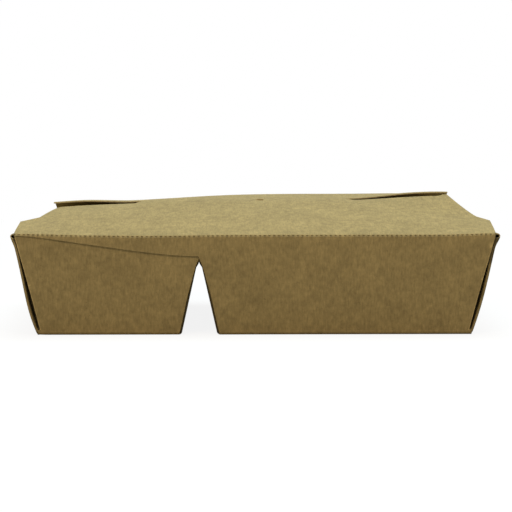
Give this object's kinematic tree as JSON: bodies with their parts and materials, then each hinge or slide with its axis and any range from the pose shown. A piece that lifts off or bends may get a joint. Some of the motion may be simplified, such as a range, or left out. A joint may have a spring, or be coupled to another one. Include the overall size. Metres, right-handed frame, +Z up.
{
  "type": "takeaway box",
  "caption": "Closed takeaway box folded from kraft board, with an open V channel between its compartments and a lid flap that swings up.",
  "frame": {"origin": "middle of the base, on the surface that the box stands on", "axes": "+X to the right along the box's length, +Y from the front wall to the back wall, +Z up"},
  "size_m": [0.2324, 0.1499, 0.0664],
  "materials": {
    "kraft_board": "matte"
  },
  "bodies": {
    "tray": {"tray": "kraft_board"},
    "lid_flap": {"back_flap": "kraft_board"}
  },
  "joints": [
    {"name": "back_flap_crease", "type": "hinge", "parent": "tray", "child": "lid_flap", "pos_m": [0, 0.07475, 0.049], "axis": [-1, 0, 0], "range_deg": [0, 180]}
  ]
}
